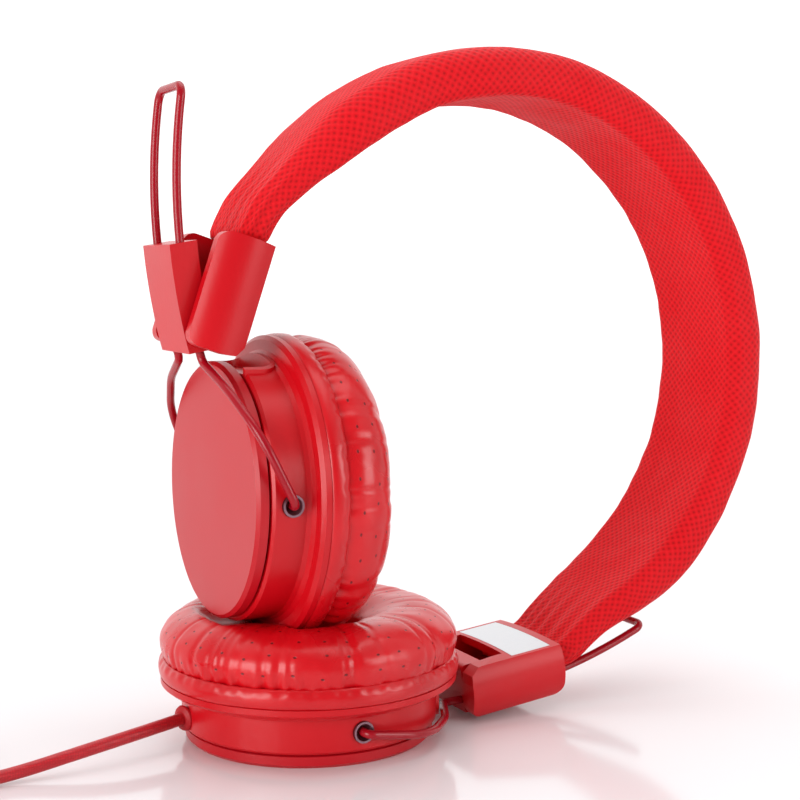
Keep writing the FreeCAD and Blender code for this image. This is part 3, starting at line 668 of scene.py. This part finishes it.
# where each turn lies in the coil: ring from the inside, layer from the floor
COIL_SPOTS = [(2, 0), (1, 0), (0, 0), (0, 1), (1, 1), (2, 1), (2, 2), (1, 2), (0, 2), (1, 3),
              (2, 2)]


def coil_points():
    """Turns of the coil, wound from the cord's end to the tail's start.

    The last turn meets the tail in a bend much tighter than the real cord would take.
    """
    low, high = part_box("cord_coil")
    centre = Vector(((low[0] + high[0]) / 2, (low[1] + high[1]) / 2, 0))
    start = math.atan2(CORD_ROUTE[-1][1] - centre.y, CORD_ROUTE[-1][0] - centre.x)
    finish = math.atan2(TAIL_ROUTE[0][1] - centre.y, TAIL_ROUTE[0][0] - centre.x)
    step = 2 * math.pi / POINTS_PER_TURN
    sweep = (start - finish) % (2 * math.pi)
    total = 2 * math.pi * COIL_TURNS + sweep
    count = int(total / step)
    points = []
    for i in range(1, count):
        turn = i / count * (len(COIL_SPOTS) - 1)
        k = min(int(turn), len(COIL_SPOTS) - 2)
        blend = max(0.0, min(1.0, (turn - k - 0.55) / 0.4))
        (ring_a, layer_a), (ring_b, layer_b) = COIL_SPOTS[k:k + 2]
        ring = ring_a * (1 - blend) + ring_b * blend
        layer = layer_a * (1 - blend) + layer_b * blend
        r = COIL_MEAN_R + (ring - 1) * TURN_GAP
        z = COIL_LOW_Z + layer * LAYER_RISE
        angle = start - i * total / count
        wobble = 0.00035 * math.sin(3.1 * angle + k)
        points.append((centre.x + (r + wobble) * math.cos(angle),
                       centre.y + (r + wobble) * math.sin(angle), z))
    return points


def make_cord():
    """Cord, coil and tail as one smooth line."""
    curve = bpy.data.curves.new("cord_line", "CURVE")
    curve.dimensions = "3D"
    points = CORD_ROUTE + coil_points() + TAIL_ROUTE
    spline = curve.splines.new("NURBS")
    spline.points.add(len(points) - 1)
    for p, co in zip(spline.points, points):
        p.co = (*co, 1)
    spline.order_u = 3
    spline.use_endpoint_u = True
    spline.resolution_u = 6
    curve.bevel_depth = CORD_R
    curve.bevel_resolution = 4
    curve.use_fill_caps = True
    obj = bpy.data.objects.new("free_cord", curve)
    bpy.context.scene.collection.objects.link(obj)
    obj.data.materials.append(MATERIALS["red_cord"])
    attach(obj, "left_cup")
    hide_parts("cord", "cord_coil", "cord_tail")


# ---------------------------------------------------------------- stage, light and camera
BACKDROP_WAY = (0.45, 0.89, 0.05)
FLOOR_HALF = 3.0
LIGHT_AIM = (0.03, 0.0, 0.08)
CAMERA_AT = (-0.1422, -0.3336, 0.1143)
CAMERA_DOWN, CAMERA_HEADING = 5.17, -26.62
LENS = 67.48


def make_stage():
    floor_mesh = bpy.data.meshes.new("floor")
    bm = bmesh.new()
    for x, y in ((-1, -1), (1, -1), (1, 1), (-1, 1)):
        bm.verts.new((x * FLOOR_HALF, y * FLOOR_HALF, 0))
    bm.faces.new(bm.verts)
    bm.to_mesh(floor_mesh)
    bm.free()
    floor = bpy.data.objects.new("floor", floor_mesh)
    bpy.context.scene.collection.objects.link(floor)
    m = Nodes("pale floor")
    m.set(colour=(0.86, 0.85, 0.865), rough=0.11, specular=0.6)
    floor_mesh.materials.append(m.mat)


def area(name, at, aim, size, watts):
    lamp = bpy.data.lights.new(name, "AREA")
    lamp.shape = "RECTANGLE"
    lamp.size = lamp.size_y = size
    lamp.energy = watts
    obj = bpy.data.objects.new(name, lamp)
    bpy.context.scene.collection.objects.link(obj)
    obj.location = at
    obj.rotation_euler = (Vector(aim) - Vector(at)).to_track_quat("-Z", "Y").to_euler()


def make_light():
    """Bright white backdrop behind, dimmer room in front, soft boxes to the left and above."""
    world = bpy.data.worlds.new("studio")
    world.use_nodes = True
    tree = world.node_tree
    back = tree.nodes["Background"]
    coords = tree.nodes.new("ShaderNodeTexCoord")
    facing = tree.nodes.new("ShaderNodeVectorMath")
    facing.operation = "DOT_PRODUCT"
    facing.inputs[1].default_value = BACKDROP_WAY
    bright = tree.nodes.new("ShaderNodeMapRange")
    for key, value in zip(("From Min", "From Max", "To Min", "To Max"), (-0.55, 0.7, 0.22, 1.25)):
        bright.inputs[key].default_value = value
    tree.links.new(coords.outputs["Generated"], facing.inputs[0])
    tree.links.new(facing.outputs["Value"], bright.inputs["Value"])
    tree.links.new(bright.outputs["Result"], back.inputs["Strength"])
    back.inputs["Color"].default_value = (1, 1, 1, 1)
    bpy.context.scene.world = world
    area("key_left", (-0.90, -0.38, 0.22), LIGHT_AIM, 0.6, 8)
    area("fill_right", (0.65, -0.85, 0.35), LIGHT_AIM, 0.5, 4)
    area("top", (0.10, 0.1, 1.0), LIGHT_AIM, 0.8, 3.5)


def make_camera():
    cam = bpy.data.cameras.new("camera")
    cam.sensor_width = 36
    cam.lens = LENS
    cam.clip_start = 0.01
    obj = bpy.data.objects.new("camera", cam)
    bpy.context.scene.collection.objects.link(obj)
    obj.location = CAMERA_AT
    obj.rotation_euler = (math.radians(90 - CAMERA_DOWN), 0, math.radians(CAMERA_HEADING))
    bpy.context.scene.camera = obj


scene = bpy.context.scene
scene.view_settings.view_transform = "Standard"
scene.view_settings.look = "None"
dress_cad()
for cup_side in ("left", "right"):
    ear_cushion(cup_side)
    cushion_skirt(cup_side)
headband()
make_cord()
make_stage()
make_light()
make_camera()
